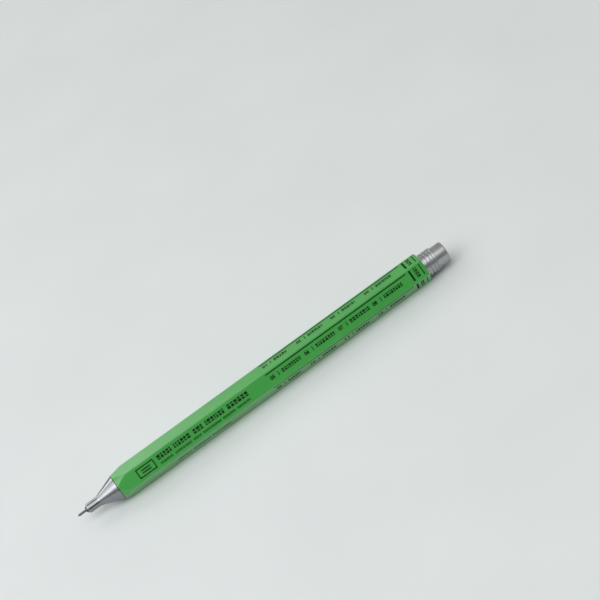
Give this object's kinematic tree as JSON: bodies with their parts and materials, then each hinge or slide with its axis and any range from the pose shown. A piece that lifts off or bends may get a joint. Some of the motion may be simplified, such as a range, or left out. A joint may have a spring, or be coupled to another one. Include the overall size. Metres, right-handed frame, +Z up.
{
  "type": "gel pen",
  "caption": "Click gel pen with a green hexagonal metal barrel, silver nose cone, grooved rear collar and push button, shown with its needle tip out.",
  "frame": {"origin": "centre of the pen's length and width, on the surface it lies on, under the middle of the barrel's lower flat", "axes": "+X along the pen from the writing tip towards the push button, +Z up out of the barrel's upper flat, +Y across the pen"},
  "size_m": [0.1376, 0.01, 0.0087],
  "materials": {
    "barrel_paint": "satin green paint on an aluminium tube",
    "nose_metal": "satin nickel",
    "collar_metal": "satin nickel, turned",
    "button_metal": "satin nickel",
    "tip_metal": "bright turned steel",
    "bush_brass": "turned brass",
    "spring_wire": "drawn spring wire",
    "white_plastic": "moulded acetal",
    "grey_plastic": "moulded acetal",
    "tube_plastic": "translucent polypropylene",
    "ink": "wet black gel",
    "grease": "clear yellowish grease",
    "ball_carbide": "polished tungsten carbide"
  },
  "bodies": {
    "barrel": {"barrel": "barrel_paint", "thread_bush": "bush_brass", "rear_ferrule": "collar_metal", "cam_housing": "white_plastic", "return_spring": "spring_wire"},
    "nose": {"nose_cone": "nose_metal"},
    "button": {"push_button": "button_metal", "plunger": "grey_plastic"},
    "refill": {"refill_holder": "white_plastic", "ink_tube": "tube_plastic", "gel_ink": "ink", "ink_follower": "grease", "tail_plug": "grey_plastic", "tip_body": "tip_metal", "needle_tube": "tip_metal", "ball_spring": "spring_wire"},
    "rotor": {"cam_rotor": "white_plastic"},
    "ball": {"writing_ball": "ball_carbide"}
  },
  "joints": [
    {"name": "button_click", "type": "slide", "parent": "barrel", "child": "button", "axis": [1, 0, 0], "range_m": [-0.0012, 0.005]},
    {"name": "refill_slide", "type": "slide", "parent": "barrel", "child": "refill", "axis": [1, 0, 0], "range_m": [-0.0012, 0.005], "deforming": ["return_spring"]},
    {"name": "rotor_turn", "type": "hinge", "parent": "refill", "child": "rotor", "pos_m": [0.035, 0, 0.00435], "axis": [1, 0, 0], "range_deg": [-11, 45]},
    {"name": "nose_unscrew", "type": "slide", "parent": "barrel", "child": "nose", "axis": [-1, 0, 0], "range_m": [0, 0.03]},
    {"name": "ball_roll", "type": "hinge", "parent": "refill", "child": "ball", "pos_m": [-0.0685, 0, 0.00435], "axis": [0, 1, 0], "continuous": true}
  ],
  "couplings": [
    {"joint": "refill_slide", "follows": "button_click", "ratio": 1},
    {"joint": "rotor_turn", "follows": "button_click", "rad_per_m": 157}
  ]
}
